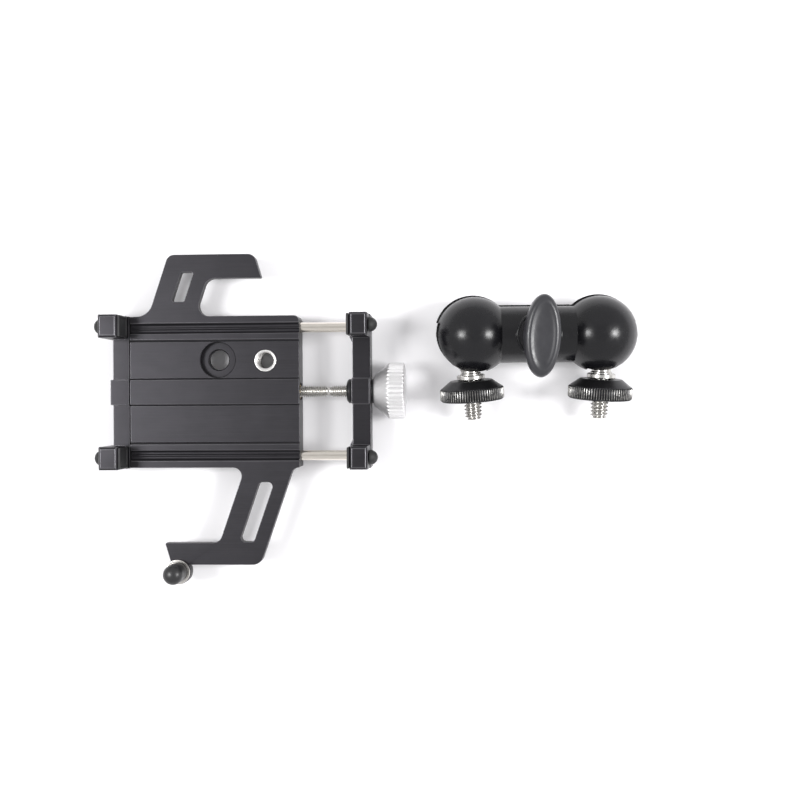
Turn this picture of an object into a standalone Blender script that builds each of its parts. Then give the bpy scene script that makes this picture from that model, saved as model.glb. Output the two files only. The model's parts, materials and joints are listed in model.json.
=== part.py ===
"""A screw clamp with hooked side arms and a two-ball arm, laid out flat as one kit.

The clamp lies face up and the arm lies beside it, both in metres with +Z up.
The clamp rests on its left end and on its knob, and the arm on its two sockets
and its two lock nuts, so each stands at its own small angle to the table.
"""

import math

import bmesh
import bpy
from mathutils import Matrix, Vector

# ---- driving dimensions, metres ----------------------------------------------
GAP = 0.0002            # clearance between a piece and the neighbour it is cut by
FACE_GAP = 0.0003       # clearance between faces that rest on each other

# Clamp body: X along the clamp, the middle of its underside at the clamp's zero.
BODY_HALF_LENGTH = 0.0304
BODY_HALF_WIDTH = 0.0270
BODY_HEIGHT = 0.0096
BODY_CORNER = 0.0018
BAND_HALF_WIDTH = 0.0045
RIB_INNER = 0.0183
RIB_OUTER = 0.0210
STRIP_INNER = 0.0244
FIELD_DEPTH = 0.0005
CHANNEL_DEPTH = 0.0013
ARM_THICKNESS = 0.0032
SCREW_Z = 0.0048        # height of the lead screw and of both guide rods

# Hooked arms, seen from above.
REAR_SLANT = 1 / 3.0    # sideways run for each metre across
REAR_HOOK_TOP = 0.0490
REAR_HOOK_BOTTOM = 0.0404
REAR_HOOK_END = 0.01705
FRONT_SLANT = 0.345
FRONT_HOOK_TOP = -0.0537
FRONT_HOOK_BOTTOM = -0.06155
FRONT_HOOK_END = -0.01806
HOOK_END_SLANT = 0.30
EAR_RADIUS = 0.0046
POST_AT = (-0.0133, -0.0640)

# Holes in the body.
COUNTERBORE_AT = (0.0012, 0.0114)
COUNTERBORE_RADIUS = 0.00625
COUNTERBORE_DEPTH = 0.0022
THROUGH_RADIUS = 0.0036
RELIEF_RADIUS = 0.0046
RELIEF_HEIGHT = 0.0042
BUSH_AT = (0.0183, 0.0110)
BUSH_RADIUS = 0.00393
BUSH_BORE = 0.0028

# Jaws.
JAW_HALF_WIDTH = 0.0272
JAW_HEIGHT = 0.0090
FIXED_JAW = (-0.0367, -0.0307)
FIXED_CLAW = (-0.0390, -0.0322)
SLIDING_JAW = (0.0493, 0.0557)
SLIDING_CLAW = (0.0491, 0.0554)
CLAW_INNER = 0.0191
CLAW_OUTER = 0.0273
CLAW_TOP = 0.0196
CLAW_CHAMFER = 0.0007
PAD_AT = (0.0232, 0.0144)
PAD_THICKNESS = 0.0008
PAD_HALF_WIDTH = 0.0037
PAD_FLOOR = 0.0099
PAD_TOP = 0.0190
STEM_RADIUS = 0.00145
DOME_RADIUS = 0.0027
FIXED_DOME_HEIGHT = 0.0024
SLIDING_DOME_HEIGHT = 0.0030
JAW_SCREW_Y = 0.0120
JAW_SCREW_RADIUS = 0.0015
JAW_SCREW_HEAD = 0.0027

# Rods, lead screw and knob.
ROD_Y = 0.0229
ROD_RADIUS = 0.0018
ROD_SPAN = (-0.0050, 0.0543)
SCREW_RADIUS = 0.0020
SCREW_NECK_RADIUS = 0.0014
SCREW_NECK = (0.0398, 0.0414)
SCREW_SPAN = (0.0, 0.0640)
NUT_SPAN = (0.0227, 0.0301)
NUT_RADIUS = 0.0030
COLLAR_RADIUS = 0.0043
COLLAR_SPAN = (0.0471, 0.0490)
WASHER_SPAN = (0.0559, 0.0566)
KNOB_START = 0.0568
KNURL_START = 0.0623
KNURL_END = 0.0675
KNOB_END = 0.0681
KNOB_RADIUS = 0.01005
KNOB_SMALL_RADIUS = 0.00545

# Ball arm: X along the arm, zero on the plane where its two shells part.
SOCKET_RADIUS = 0.0135
SOCKET_X = 0.0221
BARREL_RADIUS = 0.0100
PARTING = 0.0004        # half the gap between the shells
BALL_X = 0.0240
BALL_RADIUS = 0.0090
SLOT_HALF_HEIGHT = 0.0041
SWING_IN = math.radians(6)      # how far a stud can swing past its rest direction, towards the other
BOSS_RADIUS = 0.0078
BOSS_TOP = 0.0106
BOLT_RADIUS = 0.0029
BOLT_HEAD_RADIUS = 0.0048
SPRING_RADIUS = 0.0040
SPRING_WIRE = 0.00055
SPRING_HALF_LENGTH = 0.0034
SPRING_TURNS = 3.5
WING_BASE = 0.0119
WING_TOP = 0.0215
WING_HALF_WIDTH = 0.00625
WING_HALF_LENGTH = 0.0141
WING_TURN = math.radians(-3.0)
STUD_LEANS = {"left": math.radians(3.6), "right": math.radians(-3.0)}
STUD_NECK_RADIUS = 0.0038
STUD_COLLAR = (0.0143, 0.0160)
STUD_COLLAR_RADIUS = 0.0050
STUD_END = 0.0302
STUD_THREAD_RADIUS = 0.003175
LOCK_NUT = (0.0163, 0.0234)
LOCK_NUT_EDGES = (0.0192, 0.0229)
LOCK_NUT_RADIUS = 0.01135
LOCK_NUT_BORE = 0.00335

# Where the two assemblies lie.
CLAMP_YAW = math.radians(0.35)
ARM_FROM_CLAMP = (0.11366, 0.02057)
ARM_YAW = math.radians(0.65)

COARSE, MEDIUM, FINE = 16, 24, 36

# ---- materials: colour, metallic, roughness ----------------------------------
FINISHES = {
    "anodised": ((0.085, 0.082, 0.090), 0.85, 0.42),
    "rubber": ((0.060, 0.060, 0.062), 0.0, 0.75),
    "steel": ((0.62, 0.61, 0.59), 1.0, 0.22),
    "aluminium": ((0.78, 0.78, 0.78), 1.0, 0.33),
    "brass": ((0.72, 0.56, 0.28), 1.0, 0.30),
    "black_steel": ((0.045, 0.045, 0.048), 0.7, 0.40),
    "black_plastic": ((0.035, 0.035, 0.040), 0.0, 0.35),
    "grey_plastic": ((0.095, 0.095, 0.105), 0.0, 0.45),
}


def clear_scene():
    for obj in list(bpy.data.objects):
        bpy.data.objects.remove(obj, do_unlink=True)


def finish(name):
    made = bpy.data.materials.get(name)
    if made is None:
        colour, metallic, roughness = FINISHES[name]
        made = bpy.data.materials.new(name)
        made.use_nodes = True
        shader = made.node_tree.nodes["Principled BSDF"]
        shader.inputs["Base Color"].default_value = (*colour, 1.0)
        shader.inputs["Metallic"].default_value = metallic
        shader.inputs["Roughness"].default_value = roughness
    return made


# ---- small modelling kit ------------------------------------------------------
def add_object(name, bm, material=None, parent=None, location=(0, 0, 0), rotation=(0, 0, 0)):
    """A mesh object made from bm. Without a material it is a hidden cutter or guide."""
    bmesh.ops.recalc_face_normals(bm, faces=bm.faces)
    mesh = bpy.data.meshes.new(name)
    bm.to_mesh(mesh)
    bm.free()
    mesh.shade_smooth()
    mesh.set_sharp_from_angle(angle=math.radians(32))
    obj = bpy.data.objects.new(name, mesh)
    bpy.context.scene.collection.objects.link(obj)
    obj.parent = parent
    obj.location = location
    obj.rotation_euler = rotation
    if material:
        mesh.materials.append(finish(material))
    else:
        obj.hide_render = True
        obj.display_type = "WIRE"
    return obj


def add_frame(name, parent=None, location=(0, 0, 0), rotation=(0, 0, 0)):
    frame = bpy.data.objects.new(name, None)
    bpy.context.scene.collection.objects.link(frame)
    frame.parent = parent
    frame.location = location
    frame.rotation_euler = rotation
    return frame


def boolean(target, other, operation="DIFFERENCE"):
    modifier = target.modifiers.new(other.name, "BOOLEAN")
    modifier.operation = operation
    modifier.solver = "EXACT"
    modifier.object = other


def box(low, high):
    bm = bmesh.new()
    bmesh.ops.create_cube(bm, size=1.0)
    size = Vector(high) - Vector(low)
    middle = (Vector(high) + Vector(low)) / 2
    bmesh.ops.transform(bm, matrix=Matrix.Translation(middle) @ Matrix.Diagonal((*size, 1)), verts=bm.verts)
    return bm


def chamfer(bm, width, test):
    """Bevel the edges whose middle point passes the test."""
    edges = [e for e in bm.edges if test((e.verts[0].co + e.verts[1].co) / 2)]
    bmesh.ops.bevel(bm, geom=edges, offset=width, segments=1, affect="EDGES", profile=0.5)
    return bm


def prism(outline, low, high):
    """A flat outline in X and Y, extruded from low to high in Z."""
    bm = bmesh.new()
    face = bm.faces.new([bm.verts.new((x, y, low)) for x, y in outline])
    pulled = bmesh.ops.extrude_face_region(bm, geom=[face])
    moved = [v for v in pulled["geom"] if isinstance(v, bmesh.types.BMVert)]
    bmesh.ops.translate(bm, verts=moved, vec=(0, 0, high - low))
    return bm


def turned(profile, segments, closed_ring=False):
    """A profile of (radius, height) pairs turned about Z. It is open at the axis unless it is a closed ring."""
    bm = bmesh.new()
    rings = []
    for radius, height in profile:
        if radius == 0:
            rings.append([bm.verts.new((0, 0, height))])
            continue
        angles = [2 * math.pi * i / segments for i in range(segments)]
        rings.append([bm.verts.new((radius * math.cos(a), radius * math.sin(a), height)) for a in angles])
    pairs = list(zip(rings, rings[1:]))
    if closed_ring:
        pairs.append((rings[-1], rings[0]))
    for lower, upper in pairs:
        join_rings(bm, lower, upper)
    return bm


def join_rings(bm, lower, upper):
    count = max(len(lower), len(upper))
    for i in range(count):
        corners = [lower[i % len(lower)], lower[(i + 1) % len(lower)]]
        corners += [upper[(i + 1) % len(upper)], upper[i % len(upper)]]
        bm.faces.new(list(dict.fromkeys(corners)))


def solid_profile(*steps):
    """Close a list of (radius, height) steps onto the axis at both ends."""
    return [(0, steps[0][1]), *steps, (0, steps[-1][1])]


def cylinder(radius, low, high, segments=MEDIUM):
    return turned(solid_profile((radius, low), (radius, high)), segments)


def tube(outer, inner, low, high, segments=MEDIUM):
    return turned([(inner, low), (outer, low), (outer, high), (inner, high)], segments, closed_ring=True)


def rounded(corners):
    """An outline from (x, y, radius) corners, each rounded by an arc that meets both its sides."""
    points = []
    count = len(corners)
    for i, (x, y, radius) in enumerate(corners):
        here = Vector((x, y))
        before = (Vector(corners[i - 1][:2]) - here).normalized()
        after = (Vector(corners[(i + 1) % count][:2]) - here).normalized()
        if radius == 0:
            points.append(tuple(here))
            continue
        half = before.angle(after) / 2
        centre = here + (before + after).normalized() * radius / math.sin(half)
        start = here + before * radius / math.tan(half) - centre
        end = here + after * radius / math.tan(half) - centre
        turn = start.angle_signed(end)
        steps = max(3, round(abs(turn) / math.radians(15)))
        for k in range(steps + 1):
            swung = Matrix.Rotation(-turn * k / steps, 2) @ start
            points.append(tuple(centre + swung))
    return points


ALONG_X = (0, math.pi / 2, 0)


def along_x(name, bm, material, parent, y=0.0, z=SCREW_Z):
    """A turned piece whose axis runs along X. Its own height is the distance along X."""
    return add_object(name, bm, material, parent, (0, y, z), ALONG_X)


# ---- clamp --------------------------------------------------------------------
def slanted(x_at_edge, slant, edge, y):
    """X at height y of a side that starts at x_at_edge on the body's edge."""
    return x_at_edge + slant * (y - edge)


def body_outline():
    """The body and both hooked arms from above, anticlockwise from the body's lower left corner."""
    length, width = BODY_HALF_LENGTH, BODY_HALF_WIDTH
    front_outer, front_inner = 0.0282, 0.0108
    rear_outer, rear_inner = -0.0237, -0.00695
    return rounded([
        (-length, -width, 0.0003),
        (front_inner, -width, 0.0030),
        (slanted(front_inner, FRONT_SLANT, -width, FRONT_HOOK_TOP), FRONT_HOOK_TOP, 0.0034),
        (FRONT_HOOK_END, FRONT_HOOK_TOP, 0.0005),
        (FRONT_HOOK_END + HOOK_END_SLANT * (FRONT_HOOK_TOP - FRONT_HOOK_BOTTOM), FRONT_HOOK_BOTTOM, 0.0004),
        (slanted(front_outer, FRONT_SLANT, -width, FRONT_HOOK_BOTTOM), FRONT_HOOK_BOTTOM, 0.0040),
        (front_outer, -width, 0.0028),
        (length, -width, 0),
        (length, width, BODY_CORNER),
        (rear_inner, width, 0.0037),
        (slanted(rear_inner, REAR_SLANT, width, REAR_HOOK_BOTTOM), REAR_HOOK_BOTTOM, 0.0038),
        (REAR_HOOK_END, REAR_HOOK_BOTTOM, 0.0005),
        (REAR_HOOK_END - HOOK_END_SLANT * (REAR_HOOK_TOP - REAR_HOOK_BOTTOM), REAR_HOOK_TOP, 0.0030),
        (slanted(rear_outer, REAR_SLANT, width, REAR_HOOK_TOP), REAR_HOOK_TOP, 0.0030),
        (rear_outer, width, 0.0060),
        (-length, width, 0.0003),
    ])


def slot_outline(left, width, slant, low, high, radius):
    """A leaning slot. left is its left side's X at its lower end."""
    right = left + width
    run = slant * (high - low)
    return rounded([(left, low, radius), (right, low, radius), (right + run, high, radius), (left + run, high, radius)])


def build_clamp_body(clamp):
    top = BODY_HEIGHT
    body = add_object("clamp_body", prism(body_outline(), 0, top), "anodised", clamp)
    ear = add_object("ear_form", cylinder(EAR_RADIUS, 0.001, top, FINE), None, clamp, (*POST_AT, 0))
    boolean(body, ear, "UNION")

    reach = 0.08
    above = top + 0.002
    edge = BODY_HALF_WIDTH - 0.0001
    under_arms = [
        box((-reach, edge, -0.001), (reach, reach, top - ARM_THICKNESS)),
        box((-reach, -reach, -0.001), (reach, -edge, top - ARM_THICKNESS)),
    ]
    for side, form in zip(("rear", "front"), under_arms):
        boolean(body, add_object(f"under_arm_{side}", form, None, clamp))
    for side, sign in (("rear", 1), ("front", -1)):
        for label, inner, outer, depth in (
            ("field", BAND_HALF_WIDTH, RIB_INNER, FIELD_DEPTH),
            ("channel", RIB_OUTER, STRIP_INNER, CHANNEL_DEPTH),
        ):
            low, high = sorted((sign * inner, sign * outer))
            groove = box((-reach, low, top - depth), (reach, high, above))
            boolean(body, add_object(f"{label}_{side}", groove, None, clamp))

    rear_slot = slot_outline(-0.0153, 0.0046, REAR_SLANT, 0.0322, 0.0427, 0.0007)
    front_slot = slot_outline(0.0087, 0.0052, FRONT_SLANT, -0.0534, -0.0322, 0.0015)
    for side, outline in (("rear", rear_slot), ("front", front_slot)):
        boolean(body, add_object(f"slot_{side}", prism(outline, 0, above), None, clamp))

    floor = top - FIELD_DEPTH - COUNTERBORE_DEPTH
    holes = {
        "counterbore": (COUNTERBORE_AT, COUNTERBORE_RADIUS, floor, above, FINE),
        "through_hole": (COUNTERBORE_AT, THROUGH_RADIUS, -0.001, above, MEDIUM),
        "underside_relief": (COUNTERBORE_AT, RELIEF_RADIUS, -0.001, RELIEF_HEIGHT, MEDIUM),
        "bush_seat": (BUSH_AT, BUSH_RADIUS + GAP, 0.0008, above, MEDIUM),
        "bush_exit": (BUSH_AT, BUSH_BORE + GAP, -0.001, above, MEDIUM),
        "post_hole": (POST_AT, 0.0016, -0.001, above, COARSE),
    }
    for name, (at, radius, low, high, segments) in holes.items():
        boolean(body, add_object(name, cylinder(radius, low, high, segments), None, clamp, (*at, 0)))

    end = BODY_HALF_LENGTH + 0.001
    for side, sign in (("rear", 1), ("front", -1)):
        hole = cylinder(JAW_SCREW_RADIUS + GAP, -end, -0.0212, COARSE)
        boolean(body, along_x(f"jaw_screw_hole_{side}", hole, None, clamp, sign * JAW_SCREW_Y))
    tunnels = {
        "rod_tunnel_rear": (ROD_Y, ROD_RADIUS + GAP, -end),
        "rod_tunnel_front": (-ROD_Y, ROD_RADIUS + GAP, -end),
        "screw_tunnel": (0, SCREW_RADIUS + FACE_GAP, -end),
        "nut_pocket": (0, NUT_RADIUS + GAP, NUT_SPAN[0] - FACE_GAP),
    }
    for name, (y, radius, start) in tunnels.items():
        boolean(body, along_x(name, cylinder(radius, start, end, COARSE), None, clamp, y))


def build_body_inserts(clamp):
    bush_top = BODY_HEIGHT - FIELD_DEPTH
    bush = tube(BUSH_RADIUS, BUSH_BORE, 0.0011, bush_top, MEDIUM)
    add_object("threaded_bush", bush, "steel", clamp, (*BUSH_AT, 0))
    along_x("lead_nut", tube(NUT_RADIUS, SCREW_RADIUS + GAP, *NUT_SPAN, COARSE), "brass", clamp)


def build_end_post(clamp):
    foot = BODY_HEIGHT + FACE_GAP
    flange_top = foot + 0.0010
    stem_top = 0.0180
    cap_floor = flange_top + FACE_GAP
    bore_end = 0.0135
    post = turned([
        (0, bore_end), (0.0015, bore_end), (0.0015, foot), (0.0044, foot), (0.0044, flange_top),
        (0.0022, flange_top), (0.0022, stem_top), (0, stem_top),
    ], MEDIUM)
    add_object("end_post", post, "steel", clamp, (*POST_AT, 0))

    inner, outer, inner_top = 0.0022 + GAP, 0.0035, stem_top + FACE_GAP
    crown = [(outer * math.cos(a), 0.0172 + 0.0028 * math.sin(a)) for a in (0, 0.4, 0.8, 1.2)]
    cap = turned([(0, inner_top), (inner, inner_top), (inner, cap_floor), (outer, cap_floor), *crown, (0, 0.0200)],
                 MEDIUM)
    add_object("end_post_cap", cap, "rubber", clamp, (*POST_AT, 0))

    under = BODY_HEIGHT - ARM_THICKNESS - FACE_GAP
    screw = turned(solid_profile((0.0027, under - 0.0019), (0.0027, under), (0.0013, under), (0.0013, 0.0130)), COARSE)
    add_object("end_post_screw", screw, "black_steel", clamp, (*POST_AT, 0))


def claw_block(name, clamp, span, side, floor):
    """One upright claw of a jaw. side is +1 for the rear claw and -1 for the front one."""
    low, high = sorted((side * CLAW_INNER, side * CLAW_OUTER))
    form = box((span[0], low, floor), (span[1], high, CLAW_TOP))
    chamfer(form, CLAW_CHAMFER, lambda at: at.z > CLAW_TOP - 0.0001)
    return add_object(name, form, None, clamp)


def shoulder(name, clamp, inner_x, claw_x, side):
    """The bevelled step in plan between a jaw's bar and the foot of a claw."""
    back = inner_x + 0.002 * (1 if inner_x > claw_x else -1)
    corners = [(back, 0.0172), (inner_x, 0.0172), (claw_x, 0.0190), (claw_x, 0.0271), (back, 0.0271)]
    return add_object(name, prism([(x, side * y) for x, y in corners], 0.0002, JAW_HEIGHT - 0.0002), None, clamp)


def build_jaw(name, clamp, bar, claw, band, outward):
    """A jaw's bar with its raised middle and its two claws. outward is -1 at the left end and +1 at the right."""
    jaw = add_object(name, box((bar[0], -JAW_HALF_WIDTH, 0), (bar[1], JAW_HALF_WIDTH, JAW_HEIGHT)), "anodised", clamp)
    middle = box((band[0], -BAND_HALF_WIDTH, 0.0015), (band[1], BAND_HALF_WIDTH, BODY_HEIGHT))
    boolean(jaw, add_object(f"{name}_middle", middle, None, clamp), "UNION")
    for label, side in (("rear", 1), ("front", -1)):
        boolean(jaw, claw_block(f"{name}_claw_{label}", clamp, claw, side, 0.0020), "UNION")
        stem_hole = cylinder(STEM_RADIUS + GAP, claw[0] - 0.002, claw[1] + 0.002, COARSE)
        hole = along_x(f"{name}_pad_hole_{label}", stem_hole, None, clamp, side * PAD_AT[0], PAD_AT[1])
        boolean(jaw, hole)
        build_pad(f"{name.split('_')[0]}_pad_{label}", clamp, claw, side, outward)
    return jaw


def build_pad(name, clamp, claw, side, outward):
    """A rubber pad on the claw's gripping face, with a stem through the claw and a domed plug outside."""
    face = claw[0] if outward > 0 else claw[1]
    back = claw[1] if outward > 0 else claw[0]
    plate_back = face - outward * GAP
    plate_front = plate_back - outward * PAD_THICKNESS
    low, high = sorted((plate_back, plate_front))
    middle = side * PAD_AT[0]
    plate = box((low, middle - PAD_HALF_WIDTH, PAD_FLOOR), (high, middle + PAD_HALF_WIDTH, PAD_TOP))
    pad = add_object(name, plate, "rubber", clamp)

    dome_height = SLIDING_DOME_HEIGHT if outward > 0 else FIXED_DOME_HEIGHT
    dome_base = back + outward * GAP
    rise = [(DOME_RADIUS * math.cos(a), dome_base + outward * dome_height * math.sin(a)) for a in (0, 0.45, 0.9, 1.25)]
    start = (plate_back + plate_front) / 2
    steps = [(0, start), (STEM_RADIUS, start), (STEM_RADIUS, dome_base), *rise]
    plug = turned([*steps, (0, dome_base + outward * dome_height)], COARSE)
    boolean(pad, along_x(f"{name}_plug", plug, None, clamp, middle, PAD_AT[1]), "UNION")
    return pad


def build_fixed_jaw(clamp):
    jaw = build_jaw("fixed_jaw", clamp, FIXED_JAW, FIXED_CLAW, (-0.0375, FIXED_JAW[1]), -1)
    for label, side in (("rear", 1), ("front", -1)):
        y = side * JAW_SCREW_Y
        outer = FIXED_JAW[0]
        seat = outer + 0.0032
        shank = cylinder(JAW_SCREW_RADIUS + GAP, outer - 0.001, FIXED_JAW[1] + 0.001, COARSE)
        boolean(jaw, along_x(f"jaw_hole_{label}", shank, None, clamp, y))
        recess = cylinder(JAW_SCREW_HEAD + GAP, outer - 0.001, seat, COARSE)
        boolean(jaw, along_x(f"jaw_recess_{label}", recess, None, clamp, y))
        head_back = seat - FACE_GAP
        steps = [(JAW_SCREW_HEAD, head_back - 0.0026), (JAW_SCREW_HEAD, head_back)]
        steps += [(JAW_SCREW_RADIUS, head_back), (JAW_SCREW_RADIUS, -0.0218)]
        along_x(f"fixed_jaw_screw_{label}", turned(solid_profile(*steps), COARSE), "black_steel", clamp, y)


def build_sliding_jaw(clamp):
    jaw = build_jaw("sliding_jaw", clamp, SLIDING_JAW, SLIDING_CLAW, (0.0490, 0.0553), 1)
    inner = SLIDING_JAW[0]
    for label, side in (("rear", 1), ("front", -1)):
        boolean(jaw, shoulder(f"shoulder_{label}", clamp, inner, 0.0483, side), "UNION")
    for label, side in (("rear", 1), ("front", -1)):
        seat = cylinder(ROD_RADIUS + GAP, inner - 0.002, ROD_SPAN[1] + GAP, COARSE)
        boolean(jaw, along_x(f"rod_seat_{label}", seat, None, clamp, side * ROD_Y))
        rod = turned(solid_profile((ROD_RADIUS - 0.0004, ROD_SPAN[0]), (ROD_RADIUS, ROD_SPAN[0] + 0.0004),
                                   (ROD_RADIUS, ROD_SPAN[1])), COARSE)
        along_x(f"guide_rod_{label}", rod, "steel", clamp, side * ROD_Y)
    hole = cylinder(SCREW_RADIUS + FACE_GAP, inner - 0.002, SLIDING_JAW[1] + 0.001, COARSE)
    boolean(jaw, along_x("jaw_screw_hole", hole, None, clamp))


def build_drive(clamp):
    """The lead screw with its collar, washer and knob, all turning together on the screw's axis."""
    neck_in, neck_out = SCREW_NECK
    screw = turned(solid_profile(
        (SCREW_RADIUS - 0.0004, SCREW_SPAN[0]), (SCREW_RADIUS, SCREW_SPAN[0] + 0.0004), (SCREW_RADIUS, neck_in),
        (SCREW_NECK_RADIUS, neck_in), (SCREW_NECK_RADIUS, neck_out), (SCREW_RADIUS, neck_out),
        (SCREW_RADIUS, SCREW_SPAN[1]),
    ), COARSE)
    along_x("lead_screw", screw, "steel", clamp)

    bore = SCREW_RADIUS + GAP
    low, high = COLLAR_SPAN
    edge = 0.0005
    collar = turned([(bore, low), (COLLAR_RADIUS - edge, low), (COLLAR_RADIUS, low + edge), (COLLAR_RADIUS, high),
                     (bore, high)], MEDIUM, closed_ring=True)
    along_x("retaining_collar", collar, "black_steel", clamp)
    along_x("thrust_washer", tube(COLLAR_RADIUS, bore, *WASHER_SPAN, MEDIUM), "black_steel", clamp)

    knob = turned([
        (0, SCREW_SPAN[1] + FACE_GAP), (bore, SCREW_SPAN[1] + FACE_GAP), (bore, KNOB_START),
        (KNOB_SMALL_RADIUS, KNOB_START), (KNOB_RADIUS - 0.0003, KNURL_START - 0.0003), (KNOB_RADIUS, KNURL_START),
        (KNOB_RADIUS, KNURL_END), (KNOB_RADIUS - 0.0006, KNOB_END), (0, KNOB_END),
    ], FINE)
    knob = along_x("adjust_knob", knob, "aluminium", clamp)
    grub_x = KNOB_START + 0.0024
    grub_hole = cylinder(0.0013 + GAP, -0.009, -0.001, COARSE)
    boolean(knob, add_object("grub_hole", grub_hole, None, clamp, (grub_x, 0, SCREW_Z)))
    grub = cylinder(0.0013, -0.0062, -(SCREW_RADIUS + FACE_GAP), COARSE)
    add_object("knob_grub_screw", grub, "black_steel", clamp, (grub_x, 0, SCREW_Z))


# ---- ball arm -----------------------------------------------------------------
def uv_sphere(radius, centre_x, segments, rings):
    profile = [(radius * math.sin(math.pi * i / rings), -radius * math.cos(math.pi * i / rings))
               for i in range(1, rings)]
    bm = turned([(0, -radius), *profile, (0, radius)], segments)
    bmesh.ops.translate(bm, verts=bm.verts, vec=(centre_x, 0, 0))
    return bm


def stud_angle(side):
    """The stud's direction in the parting plane: square to the arm, less its small lean."""
    return -math.pi / 2 + STUD_LEANS[side]


def slot_cutter(side, sign):
    """The room for a stud's neck, from just past its rest direction round to the arm's end."""
    start = stud_angle(side) - sign * SWING_IN
    stop = 0.0 if sign > 0 else -math.pi
    inner, outer = 0.003, 0.019
    half = SLOT_HALF_HEIGHT

    def side_point(angle, beyond, reach):
        """A point of the slot's straight side, half a slot width beyond a stud direction."""
        along = Vector((math.cos(angle), math.sin(angle)))
        across = Vector((-math.sin(angle), math.cos(angle)))
        return tuple(along * reach + across * half * beyond)

    steps = 10
    arc = [start + (stop - start) * i / steps for i in range(steps + 1)]
    outline = [side_point(start, -sign, inner), side_point(start, -sign, outer)]
    outline += [(outer * math.cos(a), outer * math.sin(a)) for a in arc]
    outline += [side_point(stop, sign, outer), side_point(stop, sign, inner)]
    return prism(outline, -half, half)


def shell_form(name, arm, half):
    """The arm's full outer form: a barrel between two balls, with a round boss for the wing knob."""
    material = "black_plastic"
    barrel = cylinder(BARREL_RADIUS, -SOCKET_X, SOCKET_X, FINE)
    bmesh.ops.transform(barrel, matrix=Matrix.Rotation(math.pi / 2, 4, "Y"), verts=barrel.verts)
    shell = add_object(name, barrel, material, arm)
    for side, sign in (("left", -1), ("right", 1)):
        form = uv_sphere(SOCKET_RADIUS, sign * SOCKET_X, 36, 18)
        boolean(shell, add_object(f"{name}_{side}_form", form, None, arm), "UNION")
    if half > 0:
        boss = add_object(f"{name}_boss", cylinder(BOSS_RADIUS, 0.004, BOSS_TOP, MEDIUM), None, arm)
        boolean(shell, boss, "UNION")
    reach = 0.05
    low, high = sorted((half * PARTING, -half * reach))
    boolean(shell, add_object(f"{name}_other_half", box((-reach, -reach, low), (reach, reach, high)), None, arm))
    for side, sign in (("left", -1), ("right", 1)):
        cavity = uv_sphere(BALL_RADIUS + 0.00025, 0, 24, 12)
        boolean(shell, add_object(f"{name}_{side}_cavity", cavity, None, arm, (sign * BALL_X, 0, 0)))
        slot = add_object(f"{name}_{side}_slot", slot_cutter(side, sign), None, arm, (sign * BALL_X, 0, 0))
        boolean(shell, slot)
    pocket = sorted((0, half * (SPRING_HALF_LENGTH + 0.0002)))
    boolean(shell, add_object(f"{name}_spring_pocket", cylinder(0.0052, *pocket, MEDIUM), None, arm))
    boolean(shell, add_object(f"{name}_bolt_hole", cylinder(BOLT_RADIUS + FACE_GAP, -0.02, 0.02, COARSE), None, arm))
    return shell


def build_shells(arm):
    lower = shell_form("lower_shell", arm, -1)
    head_pocket = cylinder(BOLT_HEAD_RADIUS + FACE_GAP, -0.012, -0.0052, MEDIUM)
    boolean(lower, add_object("head_pocket", head_pocket, None, arm))
    shell_form("upper_shell", arm, 1)


def build_spring(arm):
    """An open coil round the clamp bolt that pushes the shells apart."""
    bm = bmesh.new()
    sides, steps = 8, int(SPRING_TURNS * 16)
    climb = 2 * (SPRING_HALF_LENGTH - SPRING_WIRE)
    rings = []
    for i in range(steps + 1):
        share = i / steps
        angle = 2 * math.pi * SPRING_TURNS * share
        out = Vector((math.cos(angle), math.sin(angle), 0))
        centre = out * SPRING_RADIUS + Vector((0, 0, -climb / 2 + climb * share))
        ring = []
        for k in range(sides):
            a = 2 * math.pi * k / sides
            ring.append(bm.verts.new(centre + SPRING_WIRE * (math.cos(a) * out + math.sin(a) * Vector((0, 0, 1)))))
        rings.append(ring)
    for lower, upper in zip(rings, rings[1:]):
        join_rings(bm, lower, upper)
    bm.faces.new(rings[0])
    bm.faces.new(rings[-1])
    add_object("shell_spring", bm, "steel", arm)


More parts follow.
